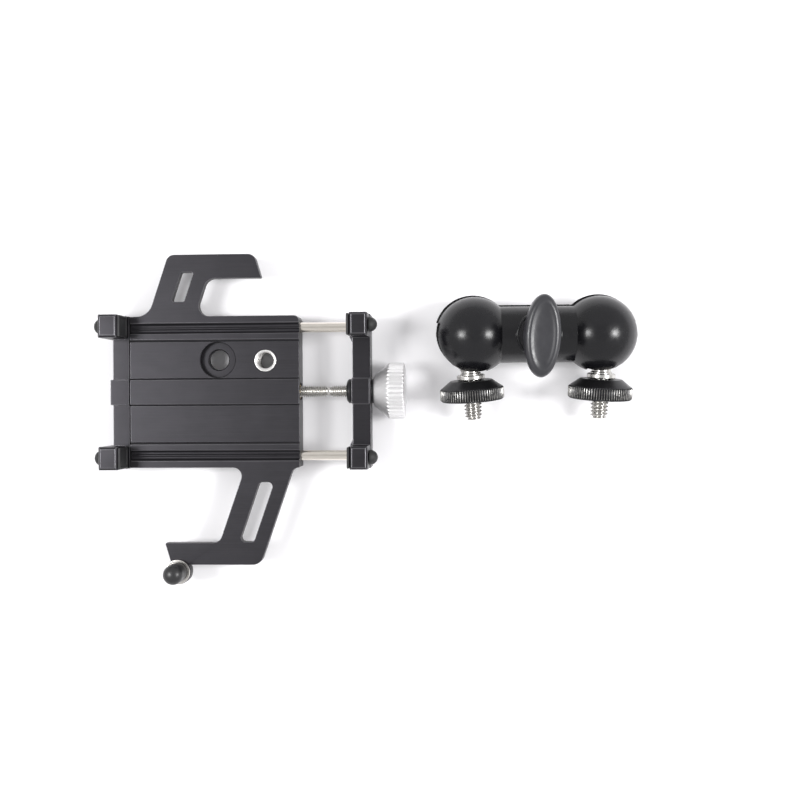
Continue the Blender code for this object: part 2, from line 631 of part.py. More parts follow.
def build_wing_knob(arm):
    head = turned(solid_profile((BOLT_HEAD_RADIUS, -0.0096), (BOLT_HEAD_RADIUS, -0.0055), (BOLT_RADIUS, -0.0055),
                                (BOLT_RADIUS, 0.0178)), COARSE)
    add_object("clamp_bolt", head, "steel", arm)
    washer = tube(0.0070, BOLT_RADIUS + FACE_GAP, BOSS_TOP + GAP, WING_BASE - 2 * GAP, MEDIUM)
    add_object("knob_washer", washer, "black_steel", arm)

    # Rings of the knob from its round hub up to its oval wing: height, half width, half length.
    rings = [
        (WING_BASE, 0.0058, 0.0058),
        (0.0126, 0.0060, 0.0062),
        (0.0136, 0.0060, 0.0100),
        (0.0150, 0.0061, 0.0130),
        (0.0168, WING_HALF_WIDTH, WING_HALF_LENGTH),
        (0.0200, WING_HALF_WIDTH, WING_HALF_LENGTH),
        (0.0210, 0.0057, 0.0135),
        (WING_TOP, 0.0045, 0.0120),
    ]
    count = 32
    bm = bmesh.new()
    loops = []
    for height, half_width, half_length in rings:
        turns = [2 * math.pi * i / count for i in range(count)]
        loops.append([bm.verts.new((half_width * math.cos(a), half_length * math.sin(a), height)) for a in turns])
    for lower, upper in zip(loops, loops[1:]):
        join_rings(bm, lower, upper)
    bm.faces.new(loops[0])
    bm.faces.new(loops[-1])
    knob = add_object("wing_knob", bm, "grey_plastic", arm, rotation=(0, 0, WING_TURN))
    insert_radius = 0.0041
    boolean(knob, add_object("insert_pocket", cylinder(insert_radius + GAP, 0.010, 0.0168, MEDIUM), None, arm))
    boolean(knob, add_object("bolt_end_room", cylinder(BOLT_RADIUS + FACE_GAP, 0.010, 0.0182, COARSE), None, arm))
    insert = tube(insert_radius, BOLT_RADIUS + GAP, WING_BASE + GAP, 0.0166, MEDIUM)
    add_object("wing_knob_insert", insert, "brass", arm)


def build_stud(arm, side, sign):
    """One ball with its stud, lock nut and nut pad, on a frame whose Z runs out along the stud."""
    lean = STUD_LEANS[side]
    frame = add_frame(f"stud_frame_{side}", arm, (sign * BALL_X, 0, 0), (math.pi / 2, 0, lean))
    hole_floor = 0.0028
    ball = add_object(f"socket_ball_{side}", uv_sphere(BALL_RADIUS, 0, 24, 12), "steel", frame)
    boolean(ball, add_object(f"ball_hole_{side}", cylinder(0.00275, hole_floor, 0.012, COARSE), None, frame))
    collar_low, collar_high = STUD_COLLAR
    stud = turned(solid_profile(
        (0.0025, hole_floor + FACE_GAP), (0.0025, 0.0093), (STUD_NECK_RADIUS, 0.0093), (STUD_NECK_RADIUS, collar_low),
        (STUD_COLLAR_RADIUS, collar_low), (STUD_COLLAR_RADIUS, collar_high), (STUD_THREAD_RADIUS, collar_high),
        (STUD_THREAD_RADIUS, STUD_END - 0.0006), (STUD_THREAD_RADIUS - 0.0006, STUD_END),
    ), COARSE)
    add_object(f"ball_stud_{side}", stud, "steel", frame)

    low, high = LOCK_NUT
    edge_low, edge_high = LOCK_NUT_EDGES
    recess, recess_floor = 0.0092, high - 0.0010
    nut = turned([
        (LOCK_NUT_BORE, low), (0.0075, low), (LOCK_NUT_RADIUS, edge_low), (LOCK_NUT_RADIUS, edge_high),
        (LOCK_NUT_RADIUS - 0.0005, high), (recess, high), (recess, recess_floor), (LOCK_NUT_BORE, recess_floor),
    ], FINE, closed_ring=True)
    add_object(f"lock_nut_{side}", nut, "black_steel", frame)
    pad = tube(recess - GAP, 0.0042, recess_floor + GAP, high + 0.0002, MEDIUM)
    add_object(f"nut_pad_{side}", pad, "rubber", frame)


# ---- layout -------------------------------------------------------------------
def clamp_tilt():
    """The clamp leans on its left end and on the near edge of the knob, which hangs below its underside."""
    return math.atan2(KNOB_RADIUS - SCREW_Z, KNURL_START - FIXED_JAW[0])


def arm_roll():
    """The arm rolls about its length until the lock nuts' rims touch the table with the sockets."""
    away = LOCK_NUT_EDGES[1]
    return math.asin(SOCKET_RADIUS / math.hypot(away, LOCK_NUT_RADIUS)) - math.atan2(LOCK_NUT_RADIUS, away)


def centre_kit(kit):
    """Put the middle of the kit's box at zero in X and Y, and its lowest point at zero in Z."""
    bpy.context.view_layer.update()
    graph = bpy.context.evaluated_depsgraph_get()
    points = []
    for obj in bpy.data.objects:
        if obj.type == "MESH" and not obj.hide_render:
            shape = obj.evaluated_get(graph)
            points += [shape.matrix_world @ v.co for v in shape.data.vertices]
    low = [min(p[i] for p in points) for i in range(3)]
    high = [max(p[i] for p in points) for i in range(3)]
    kit.location = (-(low[0] + high[0]) / 2, -(low[1] + high[1]) / 2, -low[2])


def main():
    clear_scene()
    kit = add_frame("kit")
    tilt = clamp_tilt()
    lift = -FIXED_JAW[0] * math.sin(tilt)
    clamp = add_frame("clamp_frame", kit, (0, 0, lift), (0, -tilt, CLAMP_YAW))
    arm = add_frame("arm_frame", kit, (*ARM_FROM_CLAMP, SOCKET_RADIUS), (arm_roll(), 0, ARM_YAW))

    build_clamp_body(clamp)
    build_body_inserts(clamp)
    build_end_post(clamp)
    build_fixed_jaw(clamp)
    build_sliding_jaw(clamp)
    build_drive(clamp)

    build_shells(arm)
    build_spring(arm)
    build_wing_knob(arm)
    for side, sign in (("left", -1), ("right", 1)):
        build_stud(arm, side, sign)
    centre_kit(kit)


main()
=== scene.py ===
"""Looks for the screw clamp and the two-ball arm.

Every fine piece is built in its assembly's own frame, in millimetres, and rides on
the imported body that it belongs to. The frames come from the record's joints.
"""

import json
import math

import bmesh
import bpy
from mathutils import Matrix, Vector


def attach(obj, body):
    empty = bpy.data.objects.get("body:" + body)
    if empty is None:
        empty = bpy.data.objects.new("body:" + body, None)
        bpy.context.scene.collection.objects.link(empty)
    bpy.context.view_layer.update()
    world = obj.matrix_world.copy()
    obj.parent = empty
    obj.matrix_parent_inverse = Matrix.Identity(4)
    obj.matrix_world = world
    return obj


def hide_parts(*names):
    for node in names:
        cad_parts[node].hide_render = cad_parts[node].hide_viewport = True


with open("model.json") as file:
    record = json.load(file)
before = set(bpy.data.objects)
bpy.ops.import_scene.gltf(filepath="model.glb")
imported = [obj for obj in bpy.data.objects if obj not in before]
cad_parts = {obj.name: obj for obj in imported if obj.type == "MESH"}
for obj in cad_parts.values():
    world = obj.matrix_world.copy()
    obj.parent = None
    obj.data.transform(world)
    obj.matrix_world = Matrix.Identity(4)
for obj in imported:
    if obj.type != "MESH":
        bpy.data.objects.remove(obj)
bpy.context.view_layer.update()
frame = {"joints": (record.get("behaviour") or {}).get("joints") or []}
JOINTS = {joint["name"]: joint for joint in frame["joints"]}
TAU = 2 * math.pi
MM = 0.001

# ---- sizes shared with the solids, millimetres --------------------------------
GAP = 0.2               # room between a piece and the one it sits in
FACE_GAP = 0.3          # room between faces that rest on each other
HALF_LENGTH = 30.4
HALF_WIDTH = 27.0
BODY_TOP = 9.6
BAND = 4.5              # half width of the raised band along the body
RIB = (18.3, 21.0)
STRIP_INNER = 24.4
FIELD_Z = 9.1
ARM_UNDERSIDE = 6.4
SCREW_Z = 4.8
ROD_Y = 22.9
KNOB_AT = 60.0          # where knob_turn's point lies along the clamp
POST_AT = (-13.3, -64.0)
COUNTERBORE_AT = (1.2, 11.4)
BUSH_AT = (18.3, 11.0)
JAW_SCREW_Y = 12.0
JAW_HALF_WIDTH = 27.2
JAW_TOP = 9.0
CLAW_Y = (19.1, 27.3)
CLAW_FOOT = 2.0
CLAW_TOP = 19.6
FIXED_CLAW = (-39.0, -32.2)     # outer and gripping face along the clamp
SLIDING_CLAW = (49.1, 55.4)     # gripping and outer face
PAD_Y, PAD_Z = 23.2, 14.4
BALL_X = 24.0
SOCKET_X = 22.1
BALL_RADIUS = 9.0
WING_TURN = math.radians(-3.0)
SHELL_SHIFT = (0.22, -0.22)     # how far each loose shell sits off the arm's middle, one each way
LEAD_PITCH = 0.7
STUD_PITCH = 1.27

# ---- drilled ways and holes, radii in millimetres -----------------------------
ROD_WAY = 2.0
LEAD_WAY = 2.3
JAW_SCREW_WAY = 1.7
PAD_STEM_WAY = 1.65
BOLT_WAY = 3.2
FAR = 80                # past the end of every piece of the clamp


# ---- frames -------------------------------------------------------------------
def frame_of(x_axis, z_axis, origin):
    x_axis, z_axis = Vector(x_axis).normalized(), Vector(z_axis).normalized()
    y_axis = z_axis.cross(x_axis)
    rotation = Matrix((x_axis, y_axis, z_axis)).transposed()
    return Matrix.Translation(origin) @ rotation.to_4x4()


def clamp_frame():
    """The clamp's zero lies under its body's middle, and its Y axis is level."""
    along = Vector(JOINTS["jaw_slide"]["axis"])
    up = along.cross(Vector((-along.y, along.x, 0)).normalized())
    on_screw = Vector(JOINTS["knob_turn"]["pos_m"])
    return frame_of(along, up, on_screw - along * KNOB_AT * MM - up * SCREW_Z * MM)


def arm_frame():
    """The arm's zero lies halfway between its balls, on the plane where its shells part."""
    left = Vector(JOINTS["left_swing"]["pos_m"])
    right = Vector(JOINTS["right_swing"]["pos_m"])
    return frame_of(right - left, JOINTS["shell_open"]["axis"], (left + right) / 2)


def stud_frame(side):
    """A stud's zero is its ball's centre, and its Z axis runs out along the stud."""
    out = Vector(JOINTS[f"{side}_spin"]["axis"])
    up = Vector(JOINTS["shell_open"]["axis"])
    return frame_of(up.cross(out), out, JOINTS[f"{side}_spin"]["pos_m"])


CLAMP = clamp_frame()
ARM = arm_frame()
STUDS = {side: stud_frame(side) for side in ("left", "right")}
ALONG_X = Matrix.Rotation(math.pi / 2, 4, "Y")      # turns a piece's own Z onto the clamp's X
SIDES = ((1, "rear"), (-1, "front"))


# ---- procedural materials -----------------------------------------------------
def set_range(node, low, high, to_low, to_high):
    """The four limits of a Map Range node."""
    limits = {"From Min": low, "From Max": high, "To Min": to_low, "To Max": to_high}
    for socket, number in limits.items():
        node.inputs[socket].default_value = number


class Finish:
    """A Principled material whose colour, roughness and bump come from noise in the piece's own frame."""

    def __init__(self, name, colour, metallic, roughness, **extra):
        self.material = bpy.data.materials.new(name)
        self.material.use_nodes = True
        self.tree = self.material.node_tree
        self.shader = self.tree.nodes["Principled BSDF"]
        self.shader.inputs["Base Color"].default_value = (*colour, 1)
        self.shader.inputs["Metallic"].default_value = metallic
        self.shader.inputs["Roughness"].default_value = roughness
        for socket, value in extra.items():
            self.shader.inputs[socket.replace("_", " ")].default_value = value
        self.colour, self.roughness = colour, roughness
        self.place = self.tree.nodes.new("ShaderNodeTexCoord").outputs["Object"]
        self.bumps = []

    def link(self, out, into):
        self.tree.links.new(out, into)

    def noise(self, cells, detail=3.0, rough=0.55):
        """Noise with this many cells for each millimetre along X, Y and Z."""
        mapping = self.tree.nodes.new("ShaderNodeMapping")
        mapping.inputs["Scale"].default_value = [c / MM for c in cells]
        self.link(self.place, mapping.inputs["Vector"])
        texture = self.tree.nodes.new("ShaderNodeTexNoise")
        texture.inputs["Scale"].default_value = 1.0
        texture.inputs["Detail"].default_value = detail
        texture.inputs["Roughness"].default_value = rough
        self.link(mapping.outputs["Vector"], texture.inputs["Vector"])
        return texture.outputs["Fac"]

    def remap(self, value, low, high, to_low, to_high):
        node = self.tree.nodes.new("ShaderNodeMapRange")
        node.clamp = True
        set_range(node, low, high, to_low, to_high)
        self.link(value, node.inputs["Value"])
        return node.outputs["Result"]

    def mix(self, factor, first, second):
        """A colour between two, each a colour or an earlier node's output."""
        node = self.tree.nodes.new("ShaderNodeMix")
        node.data_type = "RGBA"
        self.link(factor, node.inputs["Factor"])
        for socket, value in ((node.inputs[6], first), (node.inputs[7], second)):
            if isinstance(value, (tuple, list)):
                socket.default_value = (*value, 1)
            else:
                self.link(value, socket)
        return node.outputs[2]

    def mottle(self, value, share):
        """Colour that varies by this share each way."""
        dark = tuple(c * (1 - share) for c in self.colour)
        light = tuple(min(1.0, c * (1 + share)) for c in self.colour)
        out = self.mix(self.remap(value, 0.3, 0.7, 0, 1), dark, light)
        self.link(out, self.shader.inputs["Base Color"])
        return out

    def roughen(self, value, spread):
        self.link(
            self.remap(value, 0.3, 0.7, self.roughness - spread, self.roughness + spread),
            self.shader.inputs["Roughness"],
        )

    def bump(self, value, height):
        """Bump of this height in millimetres, on top of the bumps given before it."""
        node = self.tree.nodes.new("ShaderNodeBump")
        node.inputs["Strength"].default_value = 1.0
        node.inputs["Distance"].default_value = height * MM
        self.link(value, node.inputs["Height"])
        if self.bumps:
            self.link(self.bumps[-1].outputs["Normal"], node.inputs["Normal"])
        self.bumps.append(node)
        self.link(node.outputs["Normal"], self.shader.inputs["Normal"])

    def distance_from_axis(self):
        """Millimetres from the piece's own Z axis."""
        split = self.tree.nodes.new("ShaderNodeSeparateXYZ")
        self.link(self.place, split.inputs["Vector"])
        flat = self.tree.nodes.new("ShaderNodeCombineXYZ")
        self.link(split.outputs["X"], flat.inputs["X"])
        self.link(split.outputs["Y"], flat.inputs["Y"])
        length = self.tree.nodes.new("ShaderNodeVectorMath")
        length.operation = "LENGTH"
        self.link(flat.outputs["Vector"], length.inputs["Vector"])
        scale = self.tree.nodes.new("ShaderNodeMath")
        scale.operation = "MULTIPLY"
        scale.inputs[1].default_value = 1 / MM
        self.link(length.outputs["Value"], scale.inputs[0])
        return scale.outputs["Value"]


def anodised(name, colour, roughness, grain):
    """Black anodised aluminium, brushed along X before it was anodised."""
    made = Finish(name, colour, 0.8, roughness)
    lines = made.noise((0.06, 6.0, 3.0), 4.0, 0.7)
    cloud = made.noise((0.11, 0.16, 0.16), 2.0)
    speckle = made.noise((3.2, 3.2, 3.2), 2.0)
    shade = made.mottle(lines, 0.16)
    paler = tuple(c * 1.5 for c in colour)
    clouded = made.mix(made.remap(cloud, 0.35, 0.65, 0, 0.22), shade, paler)
    made.link(clouded, made.shader.inputs["Base Color"])
    made.roughen(lines, 0.05)
    made.bump(lines, grain)
    made.bump(speckle, grain * 0.6)
    return made.material


def moulded(name, colour, roughness, texture, coarse=False, **extra):
    """Black plastic or rubber with the fine eggshell of its mould."""
    made = Finish(name, colour, 0.0, roughness, **extra)
    fine = made.noise((2.2, 2.2, 2.2) if coarse else (5.0, 5.0, 5.0), 2.0)
    cloud = made.noise((0.12, 0.12, 0.12), 2.0)
    made.mottle(cloud, 0.12)
    made.roughen(made.noise((0.6, 0.6, 0.6), 3.0), 0.05)
    made.bump(fine, texture)
    return made.material


def polished(name, colour, roughness, cells, grain, metallic=1.0):
    """Bare metal with the faint lines that grinding or turning leaves."""
    made = Finish(name, colour, metallic, roughness)
    lines = made.noise(cells, 3.0)
    made.mottle(lines, 0.06)
    made.roughen(made.noise(tuple(c * 0.3 for c in cells), 2.0), 0.05)
    made.bump(lines, grain)
    return made.material


def blackened(name, colour, roughness, bright_radius=None):
    """Black oxide on steel. Past bright_radius the crests of the knurl have rubbed bright."""
    made = Finish(name, colour, 0.75, roughness)
    speckle = made.noise((2.5, 2.5, 2.5), 3.0)
    shade = made.mottle(speckle, 0.2)
    if bright_radius:
        patchy = made.noise((0.9, 0.9, 1.3), 4.0, 0.7)
        crest = made.remap(made.distance_from_axis(), bright_radius, bright_radius + 0.12, 0, 1)
        both = made.tree.nodes.new("ShaderNodeMath")
        both.operation = "MULTIPLY"
        made.link(crest, both.inputs[0])
        made.link(made.remap(patchy, 0.36, 0.60, 0.12, 0.9), both.inputs[1])
        bright_edge = made.mix(both.outputs["Value"], shade, (0.55, 0.54, 0.52))
        made.link(bright_edge, made.shader.inputs["Base Color"])
    made.roughen(speckle, 0.06)
    made.bump(speckle, 0.004)
    return made.material


MATERIALS = {
    "anodised": anodised("anodised_plate", (0.0265, 0.0254, 0.029), 0.40, 0.0035),
    "jaw": anodised("anodised_jaw", (0.0225, 0.0215, 0.0247), 0.38, 0.0030),
    # Lighter anodised on the rounded edges: partly edge wear, partly a painted highlight where the edges
    # catch the light.
    "bright_edge": anodised("anodised_edge", (0.085, 0.083, 0.09), 0.30, 0.0020),
    "rubber": moulded("rubber_black", (0.011, 0.011, 0.012), 0.60, 0.02, coarse=True),
    "cap": moulded("rubber_cap", (0.012, 0.012, 0.013), 0.38, 0.006),
    "shell": moulded("shell_plastic", (0.0062, 0.0062, 0.0075), 0.24, 0.0018, Specular_IOR_Level=0.34),
    "wing": moulded("wing_plastic", (0.024, 0.024, 0.028), 0.33, 0.0024),
    "steel": polished("steel_ground", (0.66, 0.64, 0.61), 0.20, (0.4, 9.0, 9.0), 0.0010),
    "bush": polished("steel_bush", (0.80, 0.79, 0.78), 0.30, (3.0, 3.0, 3.0), 0.0010),
    "rod": polished("steel_rod", (0.70, 0.66, 0.60), 0.14, (5.0, 5.0, 0.25), 0.0006),
    "thread": polished("steel_thread", (0.53, 0.52, 0.50), 0.26, (4.0, 4.0, 4.0), 0.0010),
    "silver": polished("knob_silver", (0.73, 0.725, 0.73), 0.42, (2.4, 2.4, 6.0), 0.0012, metallic=0.85),
    "brass": polished("brass_turned", (0.74, 0.56, 0.28), 0.26, (1.0, 1.0, 6.0), 0.0010),
    "oxide": blackened("oxide_steel", (0.030, 0.030, 0.032), 0.36),
    "knurl": blackened("oxide_knurled", (0.026, 0.026, 0.028), 0.34, bright_radius=11.16),
}


# ---- mesh kit, millimetres ----------------------------------------------------
def solid(name, bm):
    """A new object from this mesh, its faces turned outwards."""
    bmesh.ops.recalc_face_normals(bm, faces=bm.faces)
    mesh = bpy.data.meshes.new(name)
    bm.to_mesh(mesh)
    bm.free()
    obj = bpy.data.objects.new(name, mesh)
    bpy.context.scene.collection.objects.link(obj)
    return obj


def settle(target):
    """Make the mesh that the modifiers give the target's own, and drop the modifiers."""
    bpy.context.view_layer.update()
    graph = bpy.context.evaluated_depsgraph_get()
    result = bpy.data.meshes.new_from_object(target.evaluated_get(graph), depsgraph=graph)
    target.modifiers.clear()
    target.data = result


def combine(target, operation, forms):
    """Unite with or cut by each form in turn, and remove the forms."""
    for form in forms:
        modifier = target.modifiers.new(form.name, "BOOLEAN")
        modifier.operation = operation
        modifier.solver = "EXACT"
        modifier.object = form
    settle(target)
    for form in forms:
        bpy.data.objects.remove(form)


def soften(target, width, segments, angle, where=None, skin=None):
    """Round every edge sharper than the angle, or those whose ends all pass the test.

    skin names the material of the faces that stay, and the rounds then get the lighter edge material: partly
    wear, partly a painted highlight along the edges.
    """
    bm = bmesh.new()
    bm.from_mesh(target.data)
    weights = bm.edges.layers.float.new("bevel_weight_edge")
    for edge in bm.edges:
        sharp = len(edge.link_faces) == 2 and edge.calc_face_angle() > math.radians(angle)
        if sharp and (where is None or all(where(v.co) for v in edge.verts)):
            edge[weights] = 1.0
    bm.to_mesh(target.data)
    bm.free()
    bevel = target.modifiers.new("edge", "BEVEL")
    bevel.width = width
    bevel.segments = segments
    bevel.limit_method = "WEIGHT"
    bevel.use_clamp_overlap = False
    bevel.miter_outer = "MITER_ARC"
    # The rounds take the lighter edge material, partly wear and partly a painted highlight.
    if skin:
        target.data.materials.clear()
        target.data.materials.append(MATERIALS[skin])
        target.data.materials.append(MATERIALS["bright_edge"])
        bevel.material = 1
    settle(target)


def place(obj, matrix, body, material, slot_name, *nodes, local=None, sharp=35.0):
    """Scale a piece from millimetres, put it in its frame, and let it ride and stand for its solid."""
    obj.data.transform(Matrix.Scale(MM, 4))
    obj.data.shade_smooth()
    obj.data.set_sharp_from_angle(angle=math.radians(sharp))
    shading = obj.modifiers.new("shading", "WEIGHTED_NORMAL")
    shading.keep_sharp = True
    obj.matrix_world = matrix @ local if local else matrix
    if obj.data.materials:
        obj.data.materials[0] = MATERIALS[material]
    else:
        obj.data.materials.append(MATERIALS[material])
    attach(obj, body)
    if nodes:
        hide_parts(*nodes)


def pulled(corners, along):
    """A flat face pulled along a vector."""
    bm = bmesh.new()
    face = bm.faces.new([bm.verts.new(corner) for corner in corners])
    made = bmesh.ops.extrude_face_region(bm, geom=[face])
    moved = [v for v in made["geom"] if isinstance(v, bmesh.types.BMVert)]
    bmesh.ops.translate(bm, verts=moved, vec=along)
    return bm


def prism(outline, low, high):
    """An outline of (x, y) points pulled up from low to high."""
    return pulled([(x, y, low) for x, y in outline], (0, 0, high - low))


def section_bar(section, low, high):
    """A section of (y, z) points run along X from low to high."""
    return pulled([(low, y, z) for y, z in section], (high - low, 0, 0))


def box(low, high):
    (x0, y0, z0), (x1, y1, z1) = low, high
    return prism([(x0, y0), (x1, y0), (x1, y1), (x0, y1)], z0, z1)


def bridge(bm, rings, closed=False):
    """Faces between each ring of vertices and the next. A ring may be a single point."""
    pairs = list(zip(rings, rings[1:]))
    if closed:
        pairs.append((rings[-1], rings[0]))
    for lower, upper in pairs:
        count = max(len(lower), len(upper))
        for i in range(count):
            corners = [lower[i % len(lower)], lower[(i + 1) % len(lower)]]
            corners += [upper[(i + 1) % len(upper)], upper[i % len(upper)]]
            bm.faces.new(list(dict.fromkeys(corners)))


def turned(profile, segments=96, closed=False, shape=None):
    """A profile of (radius, height) turned about Z. shape(radius, height, angle) may change the radius."""
    bm = bmesh.new()
    rings = []
    for radius, height in profile:
        if radius == 0:
            rings.append([bm.verts.new((0, 0, height))])
            continue
        ring = []
        for i in range(segments):
            angle = TAU * i / segments
            r = shape(radius, height, angle) if shape else radius
            ring.append(bm.verts.new((r * math.cos(angle), r * math.sin(angle), height)))
        rings.append(ring)
    bridge(bm, rings, closed)
    return bm


def capped(*steps):
    """The profile with both its ends closed at the axis."""
    return [(0, steps[0][1]), *steps, (0, steps[-1][1])]


def filleted(steps, radius, closed=False):
    """The same profile with its corners rounded by short arcs."""
    made = []
    count = len(steps)
    for i, step in enumerate(steps):
        here = Vector(step)
        ends = not closed and i in (0, count - 1)
        if ends or step[0] == 0:
            made.append(step)
            continue
        before, after = Vector(steps[i - 1]) - here, Vector(steps[(i + 1) % count]) - here
        reach = min(radius, before.length * 0.45, after.length * 0.45)
        start, end = here + before.normalized() * reach, here + after.normalized() * reach
        for share in (0, 0.3, 0.7, 1):
            point = start * (1 - share) ** 2 + here * 2 * share * (1 - share) + end * share**2
            made.append(tuple(point))
    return made


def thread_dip(height, angle, pitch):
    """How deep a 60 degree thread lies below its crest there, from 0 to 1."""
    ridge = abs(2 * ((height / pitch - angle / TAU) % 1.0) - 1)
    return min(1.0, max(0.0, (ridge - 0.12) / 0.70))


def threaded(steps, pitch, depth, zones, segments=64):
    """A turned profile with a thread cut where the height lies in one of the zones."""
    profile = []
    for (r0, z0), (r1, z1) in zip(steps, steps[1:]):
        parts = 1
        if any(low <= min(z0, z1) and max(z0, z1) <= high for low, high in zones):
            parts = max(1, round(abs(z1 - z0) / (pitch / 12)))
        profile += [(r0 + (r1 - r0) * k / parts, z0 + (z1 - z0) * k / parts) for k in range(parts)]
    profile.append(steps[-1])

    def cut(radius, height, angle):
        for low, high in zones:
            if low <= height <= high:
                fade = min(1.0, (height - low) / (pitch * 0.6), (high - height) / (pitch * 0.15))
                return radius - depth * max(0.0, fade) * thread_dip(height, angle, pitch)
        return radius

    return turned(profile, segments, shape=cut)


def rounded(corners, step=8.0):
    """An outline from (x, y, radius) corners, each rounded by an arc that meets both its sides."""
    points = []
    count = len(corners)
    for i, (x, y, radius) in enumerate(corners):
        here = Vector((x, y))
        before = (Vector(corners[i - 1][:2]) - here).normalized()
        after = (Vector(corners[(i + 1) % count][:2]) - here).normalized()
        if radius == 0:
            points.append(tuple(here))
            continue
        half = before.angle(after) / 2
        centre = here + (before + after).normalized() * radius / math.sin(half)
        start = here + before * radius / math.tan(half) - centre
        end = here + after * radius / math.tan(half) - centre
        turn = start.angle_signed(end)
        steps = max(3, round(abs(math.degrees(turn)) / step))
        for k in range(steps + 1):
            points.append(tuple(centre + Matrix.Rotation(-turn * k / steps, 2) @ start))
    return points


def drill(name, radius, low, high, at=(0, 0), segments=72):
    """A round form along Z, to cut with or to unite."""
    obj = solid(name, turned(capped((radius, low), (radius, high)), segments))
    obj.data.transform(Matrix.Translation((*at, 0)))
    return obj


def drill_x(name, radius, low, high, y=0.0, z=SCREW_Z):
    """The same along X."""
    obj = solid(name, turned(capped((radius, low), (radius, high)), 48))
    obj.data.transform(Matrix.Translation((0, y, z)) @ ALONG_X)
    return obj


def on_x(y=0.0, z=SCREW_Z):
    """Lays a turned piece's own Z along the clamp's X, at this Y and Z."""
    return Matrix.Translation((0, y * MM, z * MM)) @ ALONG_X


# ---- clamp body ---------------------------------------------------------------
def body_outline():
    """The body and both hooked arms from above."""
    front, rear = 0.345, 1 / 3.0
    return rounded([
        (-HALF_LENGTH, -HALF_WIDTH, 0.3),
        (10.8, -HALF_WIDTH, 3.0),
        (10.8 + front * (HALF_WIDTH - 53.7), -53.7, 3.4),
        (-18.06, -53.7, 0.5),
        (-18.06 + 0.30 * 7.85, -61.55, 0.4),
        (28.2 + front * (HALF_WIDTH - 61.55), -61.55, 4.0),
        (28.2, -HALF_WIDTH, 2.8),
        (HALF_LENGTH, -HALF_WIDTH, 0.4),
        (HALF_LENGTH, HALF_WIDTH, 1.8),
        (-6.95, HALF_WIDTH, 3.7),
        (-6.95 + rear * (40.4 - HALF_WIDTH), 40.4, 3.8),
        (17.05, 40.4, 0.5),
        (17.05 - 0.30 * 8.6, 49.0, 3.0),
        (-23.7 + rear * (49.0 - HALF_WIDTH), 49.0, 3.0),
        (-23.7, HALF_WIDTH, 6.0),
        (-HALF_LENGTH, HALF_WIDTH, 0.3),
    ])


def slot_outline(left, width, slant, low, high, radius):
    run = slant * (high - low)
    right = left + width
    return rounded([
        (left, low, radius), (right, low, radius), (right + run, high, radius), (left + run, high, radius),
    ])


def field_section(sign):
    """What is cut away between the raised band and a rib: a shallow field, a fine line along each side."""
    deep, above = FIELD_Z - 0.35, BODY_TOP + 1
    rib = RIB[0]
    points = [
        (BAND - 0.12, above), (BAND - 0.12, BODY_TOP), (BAND, BODY_TOP - 0.12), (BAND, deep),
        (BAND + 0.3, deep), (BAND + 0.3, FIELD_Z - 0.06), (BAND + 0.36, FIELD_Z),
        (rib - 0.36, FIELD_Z), (rib - 0.3, FIELD_Z - 0.06), (rib - 0.3, deep), (rib, deep),
        (rib, BODY_TOP - 0.38), (rib + 0.38, BODY_TOP), (rib + 0.38, above),
    ]
    return [(sign * y, z) for y, z in points]


def channel_section(sign):
    """What is cut away between a rib and the side strip: two round-floored grooves, a low crest between."""
    above = BODY_TOP + 1
    crest, steps = 0.62, 8
    rib, strip = RIB[1], STRIP_INNER
    points = [(rib - 0.25, above), (rib - 0.25, BODY_TOP), (rib, BODY_TOP - 0.3)]
    for low, high, depth in ((21.05, 22.55, 1.25), (22.65, 24.05, 1.15)):
        middle, half = (low + high) / 2, (high - low) / 2
        for k in range(steps + 1):
            angle = math.pi * k / steps
            floor = BODY_TOP - crest - (depth - crest) * math.sin(angle)
            points.append((middle - half * math.cos(angle), floor))
    points += [(strip - 0.25, BODY_TOP - 0.45), (strip + 0.2, BODY_TOP), (strip + 0.2, above)]
    return [(sign * y, z) for y, z in points]


def milled_plate():
    """The body with its arms thinned from below, its slots, fields and channels, and its top edges rounded in
    a lighter colour, partly wear and partly a painted highlight.
    """
    body = solid("clamp_plate", prism(body_outline(), 0, BODY_TOP))
    combine(body, "UNION", [drill("ear", 4.6, 1.0, BODY_TOP, POST_AT, 96)])
    side = HALF_WIDTH - 0.1
    cuts = [
        solid("under_rear", box((-FAR, side, -1), (FAR, FAR, ARM_UNDERSIDE))),
        solid("under_front", box((-FAR, -FAR, -1), (FAR, -side, ARM_UNDERSIDE))),
        solid("slot_rear", prism(slot_outline(-15.3, 4.6, 1 / 3.0, 32.2, 42.7, 0.7), 0, 12)),
        solid("slot_front", prism(slot_outline(8.7, 5.2, 0.345, -53.4, -32.2, 1.5), 0, 12)),
        drill("post_hole", 1.6, -1, 12, POST_AT, 48),
    ]
    for sign in (1, -1):
        cuts.append(solid(f"field_{sign}", section_bar(field_section(sign), -FAR, FAR)))
        cuts.append(solid(f"channel_{sign}", section_bar(channel_section(sign), -FAR, FAR)))
    combine(body, "DIFFERENCE", cuts)
    # Only the top edges get the lighter rounds: a painted highlight along them, partly wear.
    soften(body, 0.17, 2, 35, lambda at: at.z > FIELD_Z - 0.5, skin="anodised")
    return body


def counterbore_form():
    """The camera screw's hole as one turned form: relief below, hole, seat, wide bore and its mouth."""
    relief, hole, wide, mouth = 4.6, 3.6, 6.25, 6.55
    relief_top, floor = 4.2, FIELD_Z - 2.2
    form = solid("counterbore", turned(capped(
        (relief, -1), (relief, relief_top), (hole, relief_top), (hole, floor - 0.3), (hole + 0.3, floor),
        (wide, floor), (wide, FIELD_Z - 0.25), (mouth, FIELD_Z + 0.05), (mouth, 12),
    ), 96))
    form.data.transform(Matrix.Translation((*COUNTERBORE_AT, 0)))
    return form


